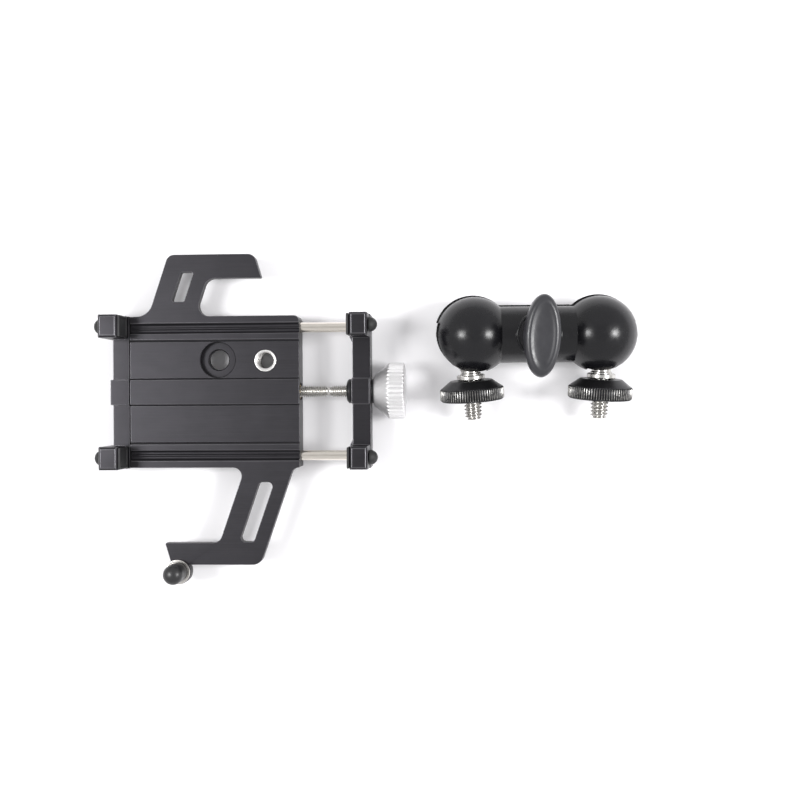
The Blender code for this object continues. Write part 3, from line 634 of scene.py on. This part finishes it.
def build_body():
    body = milled_plate()
    end = HALF_LENGTH + 1
    seat = drill("bush_seat", 4.0, 0.8, 12, BUSH_AT)
    holes = [counterbore_form(), seat, drill("bush_exit", 3.0, -1, 12, BUSH_AT)]
    for sign in (1, -1):
        holes.append(drill_x(f"jaw_screw_{sign}", JAW_SCREW_WAY, -end, -21.2, sign * JAW_SCREW_Y))
        holes.append(drill_x(f"rod_{sign}", ROD_WAY, -end, end, sign * ROD_Y))
    holes.append(drill_x("screw_tunnel", LEAD_WAY, -end, end))
    holes.append(drill_x("nut_pocket", 3.2, 22.4, end))
    combine(body, "DIFFERENCE", holes)
    place(body, CLAMP, "clamp_body", "anodised", "anodised", "clamp_body")


def build_bush():
    crest, foot, rim = 2.82, 1.1, FIELD_Z + 0.05
    wall = [(crest, foot + k * 0.1) for k in range(75, -1, -1)]
    mouth_steps = [(3.9, foot), (3.9, rim - 0.1), (3.8, rim), (3.5, rim), (3.1, rim - 0.4)]

    def tapped(radius, height, angle):
        """The bore's own thread, cut outwards from the crest."""
        if radius > crest + 0.02:
            return radius
        return radius + 0.42 * (1 - thread_dip(height, angle, STUD_PITCH))

    ring = solid("bush_ring", turned([*mouth_steps, *wall], 96, closed=True, shape=tapped))
    ring.data.transform(Matrix.Translation((*BUSH_AT, 0)))
    place(ring, CLAMP, "clamp_body", "bush", "steel", "threaded_bush", sharp=60)


def build_lead_nut():
    steps = filleted([(2.2, 22.7), (3.0, 22.7), (3.0, 30.1), (2.2, 30.1)], 0.2, True)
    nut = solid("lead_nut_brass", turned(steps, 64, True))
    place(nut, CLAMP, "clamp_body", "brass", "brass", "lead_nut", local=on_x())


# ---- jaws ---------------------------------------------------------------------
def claw(sign, span):
    """One claw across this span of X, with a chamfer round its top."""
    low, high = sorted(sign * y for y in CLAW_Y)
    bm = box((span[0], low, CLAW_FOOT), (span[1], high, CLAW_TOP))
    top = [e for e in bm.edges if all(v.co.z > CLAW_TOP - 0.1 for v in e.verts)]
    bmesh.ops.bevel(bm, geom=top, offset=0.75, segments=1, affect="EDGES", profile=0.5)
    return solid(f"claw_{sign}", bm)


def pad_plug(name, sign, outward, claw_face, claw_back, rise):
    """A rubber pad with a raised rim on the gripping face, and its domed plug outside the claw."""
    back = claw_face - outward * GAP
    front = back - outward * 0.8
    low, high = sorted((back, front))
    middle = (low + high) / 2
    y = sign * PAD_Y
    plate = solid(name, box((low, y - 3.7, 9.9), (high, y + 3.7, 19.0)))
    recess = sorted((front - outward * 0.5, front + outward * 0.3))
    hollow = box((recess[0], y - 3.0, 10.6), (recess[1], y + 3.0, 18.3))
    combine(plate, "DIFFERENCE", [solid("recess", hollow)])
    stem_radius, dome_radius = 1.45, 2.7
    base = claw_back + outward * GAP
    bends = (0.0, 0.1, 0.25, 0.45, 0.65, 0.85, 1.05, 1.25, 1.42)
    dome = [(dome_radius * math.cos(a), base + outward * rise * math.sin(a)) for a in bends]
    neck = [(0, middle), (stem_radius, middle), (stem_radius, base)]
    stem = solid("plug", turned([*neck, *dome, (0, base + outward * rise)], 48))
    stem.data.transform(Matrix.Translation((0, y, PAD_Z)) @ ALONG_X)
    combine(plate, "UNION", [stem])
    soften(plate, 0.18, 2, 40)
    return plate


def build_fixed_jaw():
    jaw = solid("fixed_jaw_bar", box((-36.7, -JAW_HALF_WIDTH, 0), (-30.7, JAW_HALF_WIDTH, JAW_TOP)))
    combine(jaw, "UNION", [solid("middle", box((-37.5, -BAND, 1.5), (-30.7, BAND, BODY_TOP)))])
    combine(jaw, "UNION", [claw(sign, FIXED_CLAW) for sign in (1, -1)])
    cuts = []
    for sign in (1, -1):
        cuts.append(drill_x(f"stem_{sign}", PAD_STEM_WAY, -42, -30, sign * PAD_Y, PAD_Z))
        cuts.append(drill_x(f"shank_{sign}", JAW_SCREW_WAY, -38, -30, sign * JAW_SCREW_Y))
        cuts.append(drill_x(f"head_{sign}", 2.9, -38, -33.5, sign * JAW_SCREW_Y))
    combine(jaw, "DIFFERENCE", cuts)
    # The jaw's rounded edges get the lighter material: partly wear, partly a painted highlight.
    soften(jaw, 0.22, 2, 40, skin="jaw")
    place(jaw, CLAMP, "clamp_body", "jaw", "anodised", "fixed_jaw")
    outer, inner = FIXED_CLAW
    for sign, side in SIDES:
        pad = pad_plug(f"fixed_grip_{side}", sign, -1, inner, outer, 2.4)
        place(pad, CLAMP, "clamp_body", "rubber", "rubber", f"fixed_pad_{side}")
        socket_screw(f"fixed_jaw_cap_screw_{side}", sign * JAW_SCREW_Y, f"fixed_jaw_screw_{side}")


def socket_screw(name, y, node):
    """A socket cap screw whose head faces away from the body."""
    seat, tip = -33.8, -21.8
    socket, head, shank = 1.6, 2.7, 1.5
    steps = [(socket, seat - 2.6), (head, seat - 2.6), (head, seat), (shank, seat), (shank, tip)]
    profile = [(0, seat - 1.2), (socket, seat - 1.2), *filleted(steps, 0.15), (0, tip)]
    screw = solid(name, turned(profile, 48))
    place(screw, CLAMP, "clamp_body", "oxide", "black_steel", node, local=on_x(y))


def build_sliding_jaw():
    jaw = solid("sliding_jaw_bar", box((49.3, -JAW_HALF_WIDTH, 0), (55.7, JAW_HALF_WIDTH, JAW_TOP)))
    forms = [solid("middle", box((49.0, -BAND, 1.5), (55.3, BAND, BODY_TOP)))]
    for sign in (1, -1):
        forms.append(claw(sign, SLIDING_CLAW))
        outline = [(51.3, 17.2), (49.3, 17.2), (48.3, 19.0), (48.3, 27.1), (51.3, 27.1)]
        forms.append(solid(f"shoulder_{sign}", prism([(x, sign * y) for x, y in outline], 0.2, 8.8)))
    combine(jaw, "UNION", forms)
    cuts = [drill_x("screw_way", LEAD_WAY, 47, 57)]
    for sign in (1, -1):
        cuts.append(drill_x(f"stem_{sign}", PAD_STEM_WAY, 47, 58, sign * PAD_Y, PAD_Z))
        cuts.append(drill_x(f"rod_{sign}", ROD_WAY, 47, 54.5, sign * ROD_Y))
    combine(jaw, "DIFFERENCE", cuts)
    # The jaw's rounded edges get the lighter material: partly wear, partly a painted highlight.
    soften(jaw, 0.22, 2, 40, skin="jaw")
    place(jaw, CLAMP, "sliding_jaw", "jaw", "anodised", "sliding_jaw")
    inner, outer = SLIDING_CLAW
    rod_profile = filleted(capped((1.3, -5.0), (1.8, -4.5), (1.8, 54.3)), 0.1)
    for sign, side in SIDES:
        pad = pad_plug(f"sliding_grip_{side}", sign, 1, inner, outer, 3.0)
        place(pad, CLAMP, "sliding_jaw", "rubber", "rubber", f"sliding_pad_{side}")
        rod = solid(f"rod_{side}", turned(rod_profile, 64))
        place(rod, CLAMP, "sliding_jaw", "rod", "steel", f"guide_rod_{side}", local=on_x(sign * ROD_Y))


# ---- drive screw and knob -----------------------------------------------------
def build_lead_screw():
    """Two threaded stretches with a plain groove between them, then the shank that the knob holds."""
    crest, groove = 2.1, 1.5
    steps = capped(
        (groove, 0.0), (crest, 0.5), (crest, 39.3), (groove + 0.1, 39.9), (groove, 40.1), (groove, 41.1),
        (groove + 0.1, 41.3), (crest, 41.9), (crest, 48.6), (2.0, 48.8), (2.0, 64.0),
    )
    screw = solid("drive_screw_thread", threaded(steps, LEAD_PITCH, 0.40, [(0.0, 39.9), (41.3, 48.6)], 40))
    place(screw, CLAMP, "drive_screw", "thread", "steel", "lead_screw", local=on_x())


def build_screw_rings():
    """The collar inside the jaw and the washer under the knob."""
    inner, outer = 2.2, 4.3
    steps = [(inner, 47.1), (3.5, 47.1), (outer, 47.8), (outer, 48.8), (inner, 48.8)]
    collar = solid("collar_ring", turned(filleted(steps, 0.18, True), 72, True))
    place(collar, CLAMP, "drive_screw", "oxide", "black_steel", "retaining_collar", local=on_x())
    steps = [(inner, 55.9), (outer, 55.9), (outer, 56.6), (inner, 56.6)]
    washer = solid("washer_ring", turned(filleted(steps, 0.12, True), 72, True))
    place(washer, CLAMP, "drive_screw", "oxide", "black_steel", "thrust_washer", local=on_x())


def build_knob():
    flutes, flute_floor, flute_depth, flute_width = 38, 9.62, 0.43, 0.40
    grub_x = 59.2

    def fluted(radius, height, angle):
        """Round-bottomed flutes between flat lands. They run out on the cone and in the end chamfer."""
        if radius <= flute_floor:
            return radius
        across = abs(((angle * flutes / TAU) % 1.0) - 0.5) * 2
        groove = max(0.0, 1 - (across / flute_width) ** 2)
        return radius - groove * max(0.0, min(radius - flute_floor, flute_depth))

    shank_hole = [(0, 64.3), (2.2, 64.3), (2.2, 56.8), (5.2, 56.8)]
    cone = [(5.45 + 4.55 * k / 10, 56.9 + 5.3 * k / 10) for k in range(11)]
    end = [
        (10.05, 62.5), (10.05, 62.9), (10.05, 65.0), (10.05, 67.1), (10.0, 67.3), (9.75, 67.6), (9.5, 67.75),
    ]
    dome = [(9.3 - 9.3 * k / 7, 67.8 + 0.28 * (1 - (1 - k / 7) ** 2)) for k in range(7)]
    profile = [*shank_hole, *cone, *end, *dome, (0, 68.08)]
    knob = solid("knob_fluted", turned(profile, flutes * 12, shape=fluted))
    hole = drill("grub_hole", 1.5, -9, -1, segments=40)
    hole.data.transform(ALONG_X.inverted() @ Matrix.Translation((grub_x, 0, 0)))
    combine(knob, "DIFFERENCE", [hole])
    place(knob, CLAMP, "drive_screw", "silver", "aluminium", "adjust_knob", local=on_x())
    steps = filleted(capped((1.3, -6.2), (1.3, -2.4), (0.8, -2.3)), 0.15)
    at = Matrix.Translation((grub_x * MM, 0, SCREW_Z * MM))
    place(solid("grub_screw", turned(steps, 40)), CLAMP, "drive_screw", "oxide", "black_steel",
          "knob_grub_screw", local=at)


# ---- end post -----------------------------------------------------------------
def build_end_post():
    at = Matrix.Translation((POST_AT[0] * MM, POST_AT[1] * MM, 0))
    foot, bore_top, post_top = BODY_TOP + FACE_GAP, 13.5, 18.0
    flange = [(4.4, foot), (4.4, foot + 1)]
    steps = filleted([(1.5, bore_top), (1.5, foot), *flange, (2.2, foot + 1), (2.2, post_top)], 0.2)
    post = solid("post_flanged", turned([(0, bore_top), *steps, (0, post_top)], 72))
    place(post, CLAMP, "clamp_body", "steel", "steel", "end_post", local=at)

    bends = [k * 0.13 for k in range(12)]
    crown = [(3.5 * math.cos(a), 17.2 + 2.8 * math.sin(a)) for a in bends]
    hollow = [(0, post_top + 0.3), (2.4, post_top + 0.3), (2.4, foot + 1.3)]
    skirt = [(3.3, foot + 1.3), (3.5, foot + 1.5)]
    cap = solid("post_cap", turned([*hollow, *skirt, *crown, (0, 20.0)], 72))
    place(cap, CLAMP, "clamp_body", "cap", "rubber", "end_post_cap", local=at)

    under, tip = ARM_UNDERSIDE - FACE_GAP, 13.0
    screw_steps = [(1.5, under - 1.9), (2.7, under - 1.9), (2.7, under), (1.3, under), (1.3, tip)]
    profile = [(0, under - 0.9), (1.5, under - 0.9), *filleted(screw_steps, 0.15), (0, tip)]
    screw = solid("post_screw", turned(profile, 48))
    place(screw, CLAMP, "clamp_body", "oxide", "black_steel", "end_post_screw", local=at)


# ---- ball arm -----------------------------------------------------------------
def arm_profile():
    """Half the arm's outer line, from its left tip to its right: ball, small fillet, barrel, fillet, ball."""
    socket, barrel, fillet = 13.5, 10.0, 0.9
    across = barrel + fillet
    fillet_x = SOCKET_X - math.sqrt((socket + fillet) ** 2 - across**2)
    meet = math.atan2(across, SOCKET_X - fillet_x)
    ball = [(socket * math.sin(a), SOCKET_X + socket * math.cos(a))
            for a in [(math.pi - meet) * k / 44 for k in range(45)]]
    swing = math.pi / 2 - meet
    bends = [swing * (1 - k / 6) for k in range(1, 7)]
    neck = [(across - fillet * math.cos(a), fillet_x + fillet * math.sin(a)) for a in bends]
    right = ball + neck
    return [(r, -x) for r, x in right] + [(r, x) for r, x in reversed(right)]


def slot_form(side, sign):
    """The room for a stud's neck, from just past its rest direction round to the arm's end."""
    lean = {"left": 3.6, "right": -3.0}[side]
    start = math.radians(-90 + lean - sign * 6)
    stop = 0.0 if sign > 0 else -math.pi
    half, inner, outer = 4.1, 3.0, 19.0

    def side_point(angle, beyond, reach):
        along = Vector((math.cos(angle), math.sin(angle)))
        across = Vector((-math.sin(angle), math.cos(angle)))
        return tuple(along * reach + across * half * beyond)

    arc = [start + (stop - start) * k / 24 for k in range(25)]
    outline = [side_point(start, -sign, inner), side_point(start, -sign, outer)]
    outline += [(outer * math.cos(a), outer * math.sin(a)) for a in arc]
    outline += [side_point(stop, sign, outer), side_point(stop, sign, inner)]
    form = solid(f"slot_{side}", prism(outline, -half, half))
    form.data.transform(Matrix.Translation((sign * BALL_X, 0, 0)))
    return form


def sphere(radius):
    segments, rings = 72, 36
    bends = [math.pi * k / rings for k in range(1, rings)]
    profile = [(radius * math.sin(a), -radius * math.cos(a)) for a in bends]
    return turned([(0, -radius), *profile, (0, radius)], segments)


def build_shell(name, half, body, node):
    """The half of the arm above (1) or below (-1) the plane where the shells part."""
    shell = solid(name, turned(arm_profile(), 128))
    shell.data.transform(ALONG_X)
    shell.data.transform(Matrix.Translation((half * SHELL_SHIFT[0], half * SHELL_SHIFT[1], 0)))
    if half > 0:
        combine(shell, "UNION", [drill("boss", 7.8, 4.0, 10.6, segments=96)])
    low, high = sorted((half * 0.4, -half * 50))
    cuts = [solid("other_half", box((-50, -50, low), (50, 50, high)))]
    for side, sign in (("left", -1), ("right", 1)):
        hollow = solid(f"hollow_{side}", sphere(BALL_RADIUS + 0.25))
        hollow.data.transform(Matrix.Translation((sign * BALL_X, 0, 0)))
        cuts.append(hollow)
        cuts.append(slot_form(side, sign))
    low, high = sorted((0, half * 3.6))
    cuts.append(drill("spring_pocket", 5.2, low, high, segments=64))
    cuts.append(drill("bolt_way", BOLT_WAY, -20, 20, segments=48))
    if half < 0:
        cuts.append(drill("head_pocket", 5.1, -12, -5.2, segments=64))
    combine(shell, "DIFFERENCE", cuts)
    soften(shell, 0.28, 3, 38)
    place(shell, ARM, body, "shell", "black_plastic", node)


def build_spring():
    bm = bmesh.new()
    wire, radius, turns, half = 0.55, 4.0, 3.5, 3.4
    steps, sides = int(turns * 40), 14
    climb = 2 * (half - wire)
    up = Vector((0, 0, 1))
    round_wire = [TAU * k / sides for k in range(sides)]
    rings = []
    for i in range(steps + 1):
        angle = TAU * turns * i / steps
        out = Vector((math.cos(angle), math.sin(angle), 0))
        centre = out * radius + Vector((0, 0, -climb / 2 + climb * i / steps))
        ring = [centre + wire * (math.cos(a) * out + math.sin(a) * up) for a in round_wire]
        rings.append([bm.verts.new(point) for point in ring])
    bridge(bm, rings)
    bm.faces.new(rings[0])
    bm.faces.new(rings[-1])
    place(solid("spring_coil", bm), ARM, "arm_base", "steel", "steel", "shell_spring")


def wing_form():
    """Oval rings from the wing's hub up to its rolled rim and dished top: height, half width, half length."""
    rings = [
        (11.9, 5.6, 5.6), (12.1, 5.9, 5.9), (12.7, 6.0, 6.6), (13.5, 6.0, 9.2), (14.4, 6.05, 11.6),
        (15.4, 6.1, 13.1), (16.6, 6.2, 13.9), (17.8, 6.25, 14.1), (19.2, 6.25, 14.1),
        (20.1, 6.15, 13.95), (20.8, 5.85, 13.5), (21.25, 5.35, 12.8), (21.48, 4.75, 12.0),
        (21.5, 4.35, 11.4), (21.42, 3.95, 10.8), (21.25, 3.55, 10.1), (21.1, 3.0, 9.0),
        (21.0, 2.0, 6.4), (20.97, 1.0, 3.2),
    ]
    angles = [TAU * i / 96 for i in range(96)]
    bm = bmesh.new()
    loops = []
    for height, half_width, half_length in rings:
        oval = [(half_width * math.cos(a), half_length * math.sin(a), height) for a in angles]
        loops.append([bm.verts.new(point) for point in oval])
    bridge(bm, loops)
    bm.faces.new(loops[0])
    tip = bm.verts.new((0, 0, 20.96))
    bridge(bm, [loops[-1], [tip]])
    return bm


def build_clamp_bolt():
    head, tip = -9.6, 17.8
    steps = filleted([(3.0, head), (4.8, head), (4.8, -5.5), (2.9, -5.5), (2.9, tip)], 0.2)
    bolt = solid("bolt_socket_head", turned([(0, -7.4), (2.5, -7.4), (2.5, -9.4), *steps, (0, tip)], 48))
    place(bolt, ARM, "arm_base", "steel", "steel", "clamp_bolt")
    steps = [(BOLT_WAY, 10.8), (7.0, 10.8), (7.0, 11.5), (BOLT_WAY, 11.5)]
    washer = solid("washer_flat", turned(filleted(steps, 0.15, True), 96, True))
    place(washer, ARM, "arm_cover", "oxide", "steel", "knob_washer")


def build_wing_knob():
    knob = solid("wing_grip", wing_form())
    knob.data.transform(Matrix.Rotation(WING_TURN, 4, "Z"))
    combine(knob, "DIFFERENCE", [drill("insert_way", 4.3, 10, 16.8), drill("bolt_end", BOLT_WAY, 10, 18.2)])
    place(knob, ARM, "wing_knob", "wing", "grey_plastic", "wing_knob")
    insert = turned(filleted([(3.1, 12.1), (4.1, 12.1), (4.1, 16.6), (3.1, 16.6)], 0.15, True), 64, True)
    place(solid("insert_brass", insert), ARM, "wing_knob", "brass", "brass", "wing_knob_insert")


# ---- studs and lock nuts ------------------------------------------------------
def build_stud(side):
    """A ball and its stud: collar and flange near the ball, then the camera thread."""
    at = STUDS[side]
    ball = solid(f"ball_{side}", sphere(BALL_RADIUS))
    combine(ball, "DIFFERENCE", [drill("stud_hole", 2.75, 2.8, 12)])
    place(ball, at, f"{side}_ball", "steel", "steel", f"socket_ball_{side}")

    neck = [
        (2.5, 3.1), (2.5, 9.3), (3.8, 9.3), (3.8, 12.4), (3.35, 12.8), (3.35, 13.5), (3.8, 13.9),
        (3.8, 14.3), (4.7, 14.3), (5.0, 14.6), (5.0, 15.7), (4.7, 16.0), (2.55, 16.05), (2.55, 16.3),
    ]
    steps = capped(*neck, (3.175, 16.8), (3.175, 29.3), (2.45, 30.2))
    stud = solid(f"stud_{side}", threaded(steps, STUD_PITCH, 0.70, [(16.3, 30.2)], 64))
    place(stud, at, f"{side}_stud", "thread", "steel", f"ball_stud_{side}")


def build_lock_nut(side):
    at = STUDS[side]
    knurls, plain_radius, knurl_depth = 78, 10.9, 0.42

    def knurled(radius, height, angle):
        """Straight knurls with sharp crests round the widest part of the nut."""
        if radius < plain_radius:
            return radius
        across = abs(((angle * knurls / TAU) % 1.0) - 0.5) * 2
        return radius - knurl_depth * min(1.0, (radius - plain_radius) / 0.3) * (1 - across) ** 0.8

    back = [(3.35, 16.7), (3.75, 16.3), (7.3, 16.3)]
    cone = [(7.5 + 3.45 * k / 5, 16.3 + 2.6 * k / 5) for k in range(6)]
    rim = [
        (11.2, 19.15), (11.35, 19.35), (11.35, 21.0), (11.35, 22.75),
        (11.2, 22.95), (10.85, 23.25), (10.7, 23.4),
    ]
    dish = [(9.3, 23.4), (9.2, 23.3), (9.2, 22.4), (3.7, 22.4), (3.35, 22.1)]
    nut = solid(f"nut_knurled_{side}", turned([*back, *cone, *rim, *dish], knurls * 8, True, knurled))
    place(nut, at, f"{side}_lock_nut", "knurl", "black_steel", f"lock_nut_{side}")
    steps = filleted([(4.2, 22.6), (9.0, 22.6), (9.0, 23.6), (4.2, 23.6)], 0.15, True)
    pad = solid(f"nut_ring_{side}", turned(steps, 96, True))
    place(pad, at, f"{side}_nut_pad", "rubber", "rubber", f"nut_pad_{side}")


# ---- table, light, camera, in metres ------------------------------------------
TABLE_HALF = 3.0
TABLE_DROP = 0.0001
SOFTBOX_SIZE = (0.20, 0.24)


def build_table():
    bm = bmesh.new()
    bmesh.ops.create_grid(bm, x_segments=1, y_segments=1, size=TABLE_HALF)
    mesh = bpy.data.meshes.new("table_top")
    bm.to_mesh(mesh)
    bm.free()
    table = bpy.data.objects.new("table_top", mesh)
    bpy.context.scene.collection.objects.link(table)
    finish = Finish("table_white", (0.90, 0.893, 0.91), 0.0, 0.6)
    mesh.materials.append(finish.material)
    table.location.z = -TABLE_DROP


def add_softbox(name, location, power):
    light = bpy.data.lights.new(name, "AREA")
    light.shape = "RECTANGLE"
    light.size, light.size_y = SOFTBOX_SIZE
    light.energy = power
    obj = bpy.data.objects.new(name, light)
    bpy.context.scene.collection.objects.link(obj)
    obj.location = location
    obj.rotation_euler = (-Vector(location)).to_track_quat("-Z", "Y").to_euler()


def build_light():
    """An even white room, a little dimmer straight overhead, and a softbox on each side."""
    world = bpy.data.worlds.new("studio")
    bpy.context.scene.world = world
    world.use_nodes = True
    tree = world.node_tree
    direction = tree.nodes.new("ShaderNodeTexCoord").outputs["Generated"]
    split = tree.nodes.new("ShaderNodeSeparateXYZ")
    tree.links.new(direction, split.inputs["Vector"])
    overhead = tree.nodes.new("ShaderNodeMapRange")
    overhead.interpolation_type = "SMOOTHSTEP"
    set_range(overhead, 0.84, 0.99, 0.86, 0.66)
    tree.links.new(split.outputs["Z"], overhead.inputs["Value"])
    tree.links.new(overhead.outputs["Result"], tree.nodes["Background"].inputs["Strength"])
    tree.nodes["Background"].inputs["Color"].default_value = (1.0, 0.995, 1.0, 1)
    add_softbox("softbox_left", (-0.46, 0.02, 0.60), 3.2)
    add_softbox("softbox_right", (0.56, 0.02, 0.60), 4.6)
    bpy.context.scene.view_settings.view_transform = "Standard"


def build_camera():
    camera = bpy.data.cameras.new("camera")
    camera.lens, camera.sensor_width = 50.4, 36.0
    obj = bpy.data.objects.new("camera", camera)
    bpy.context.scene.collection.objects.link(obj)
    obj.location = (0.01253, 0.00691, 0.410)
    bpy.context.scene.camera = obj


build_body()
build_bush()
build_lead_nut()
build_fixed_jaw()
build_sliding_jaw()
build_lead_screw()
build_screw_rings()
build_knob()
build_end_post()
build_shell("shell_under", -1, "arm_base", "lower_shell")
build_shell("shell_over", 1, "arm_cover", "upper_shell")
build_spring()
build_clamp_bolt()
build_wing_knob()
for stud_side in ("left", "right"):
    build_stud(stud_side)
    build_lock_nut(stud_side)
build_table()
build_light()
build_camera()
